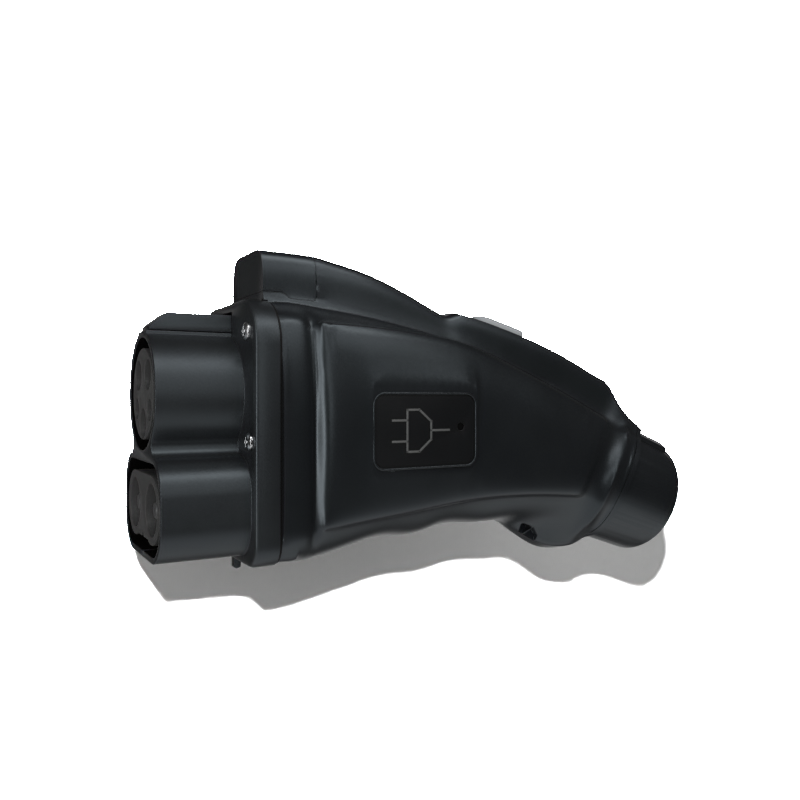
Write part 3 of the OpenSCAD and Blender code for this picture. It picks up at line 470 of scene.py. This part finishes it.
# Studio
MIDDLE_X = 0.1
CENTRE = Vector((MIDDLE_X, 0, 0))
BACKDROP_SIZE = 3
BACKDROP_GREY = 0.5
SHADOW_LAMP_POWER = 48
SHADOW_LAMP_RADIUS = 0.026
SHADOW_LAMP_RISE = 0.084
SHADOW_LAMP_LEFT = 0.008
BACKDROP_NEAR = 0.052
BACKDROP_TURN = 0.2
# The room as reflections and as diffuse light see it
DIM_ROOM = 0.03
MIRRORED_WHITE = 0.62
DIFFUSE_ROOM = 0.45
# Where the white wall behind the adapter and the white ground before it begin and end
WALL_ALONG = (0.7, 0.9)
WALL_HEIGHT = (0.25, 0.6)
GROUND_HEIGHT = (-0.75, -0.4)
GROUND_ALONG = (0.2, 0.6)


def backdrop_material():
    """Even backdrop that takes the drop shadow, and lets a camera behind it see through."""
    material = bpy.data.materials.new("studio_backdrop")
    material.use_nodes = True
    tree = material.node_tree
    tree.nodes.remove(tree.nodes["Principled BSDF"])
    paper = tree.nodes.new("ShaderNodeBsdfDiffuse")
    paper.inputs["Color"].default_value = (BACKDROP_GREY, BACKDROP_GREY, BACKDROP_GREY, 1)
    clear = tree.nodes.new("ShaderNodeBsdfTransparent")
    side = tree.nodes.new("ShaderNodeNewGeometry")
    mix = tree.nodes.new("ShaderNodeMixShader")
    tree.links.new(side.outputs["Backfacing"], mix.inputs["Fac"])
    tree.links.new(paper.outputs["BSDF"], mix.inputs[1])
    tree.links.new(clear.outputs["BSDF"], mix.inputs[2])
    tree.links.new(mix.outputs["Shader"], tree.nodes["Material Output"].inputs["Surface"])
    return material


def add_softbox(name, way, distance, size, radiance):
    """An area lamp of a given brightness, which faces the middle of the adapter."""
    data = bpy.data.lights.new(name, "AREA")
    data.shape = "RECTANGLE"
    data.size, data.size_y = size
    data.energy = radiance * math.pi * size[0] * size[1]
    lamp = bpy.data.objects.new(name, data)
    scene.collection.objects.link(lamp)
    lamp.location = CENTRE + Vector(way).normalized() * distance
    lamp.rotation_euler = (CENTRE - lamp.location).to_track_quat("-Z", "Y").to_euler()


add_softbox("key_strip", (0.05, -0.545, 0.839), 0.8, (1.1, 0.26), 2.85)
add_softbox("window_box", (-0.13, -0.92, 0.37), 0.9, (0.26, 0.8), 1.1)
add_softbox("upper_fill", (0.45, -0.72, 0.52), 0.9, (0.5, 0.2), 1.5)
add_softbox("side_strip", (-0.88, -0.47, 0.05), 0.9, (0.22, 0.9), 5.2)

bpy.ops.object.select_all(action="DESELECT")
bpy.ops.mesh.primitive_plane_add(size=BACKDROP_SIZE,
                                 location=(MIDDLE_X, BACKDROP_NEAR + MIDDLE_X * BACKDROP_TURN, 0),
                                 rotation=(math.pi / 2, 0, math.atan(BACKDROP_TURN)))
backdrop = bpy.context.object
backdrop.name = "backdrop"
bpy.ops.object.transform_apply(location=True, rotation=True, scale=True)
backdrop.data.materials.append(backdrop_material())
backdrop.visible_glossy = False
backdrop.visible_diffuse = False

# Lamp above the camera that lights the backdrop alone and throws the drop shadow
papers = bpy.data.collections.new("papers")
papers.objects.link(backdrop)
camera_way = Vector(CAMERA_WAY).normalized()
camera_right = Vector((camera_way.y, -camera_way.x, 0))
camera_up = Vector((0, 0, 1))
lamp_data = bpy.data.lights.new("shadow_lamp", "POINT")
lamp_data.energy = SHADOW_LAMP_POWER
lamp_data.shadow_soft_size = SHADOW_LAMP_RADIUS
lamp_data.use_nodes = True
lamp_tree = lamp_data.node_tree
fall = lamp_tree.nodes.new("ShaderNodeLightFalloff")
lamp_tree.links.new(fall.outputs["Constant"], lamp_tree.nodes["Emission"].inputs["Strength"])
shadow_lamp = bpy.data.objects.new("shadow_lamp", lamp_data)
scene.collection.objects.link(shadow_lamp)
shadow_lamp.location = (
    Vector(CAMERA_PLACE) + camera_up * SHADOW_LAMP_RISE - camera_right * SHADOW_LAMP_LEFT)
shadow_lamp.light_linking.receiver_collection = papers

world = bpy.data.worlds.new("studio")
scene.world = world
world.use_nodes = True
tree = world.node_tree
background = tree.nodes["Background"]
background.inputs["Color"].default_value = (1, 1, 1, 1)


def math_node(operation, first, second):
    """The result of a sum on two sockets or numbers."""
    node = tree.nodes.new("ShaderNodeMath")
    node.operation = operation
    for socket, value in zip(node.inputs, (first, second)):
        if isinstance(value, (int, float)):
            socket.default_value = value
        else:
            tree.links.new(value, socket)
    return node.outputs[0]


def ramp(value, ends):
    """0 before the first end and 1 after the second, with a smooth change between."""
    node = tree.nodes.new("ShaderNodeMapRange")
    node.interpolation_type = "SMOOTHSTEP"
    node.inputs["From Min"].default_value = ends[0]
    node.inputs["From Max"].default_value = ends[1]
    tree.links.new(value, node.inputs["Value"])
    return node.outputs["Result"]


def below(value, ends):
    return math_node("SUBTRACT", 1.0, ramp(value, ends))


sight = tree.nodes.new("ShaderNodeTexCoord")
parts = tree.nodes.new("ShaderNodeSeparateXYZ")
ahead = tree.nodes.new("ShaderNodeVectorMath")
ahead.operation = "DOT_PRODUCT"
ahead.inputs[1].default_value = camera_way
tree.links.new(sight.outputs["Generated"], parts.inputs[0])
tree.links.new(sight.outputs["Generated"], ahead.inputs[0])
height = parts.outputs["Z"]
along = ahead.outputs["Value"]
wall = math_node("MULTIPLY", ramp(along, WALL_ALONG), below(height, WALL_HEIGHT))
ground = math_node("MULTIPLY", below(height, GROUND_HEIGHT), below(along, GROUND_ALONG))
white = math_node("MAXIMUM", wall, ground)
mirrored = math_node("ADD", DIM_ROOM, math_node("MULTIPLY", white, MIRRORED_WHITE - DIM_ROOM))
rays = tree.nodes.new("ShaderNodeLightPath")
direct = rays.outputs["Is Camera Ray"]
reflected = math_node("MAXIMUM", rays.outputs["Is Glossy Ray"], rays.outputs["Is Transmission Ray"])
scattered = math_node("SUBTRACT", 1.0, math_node("MAXIMUM", reflected, direct))
indirect = math_node("ADD", math_node("MULTIPLY", reflected, mirrored),
                     math_node("MULTIPLY", scattered, DIFFUSE_ROOM))
strength = math_node("ADD", direct, indirect)
tree.links.new(strength, background.inputs["Strength"])
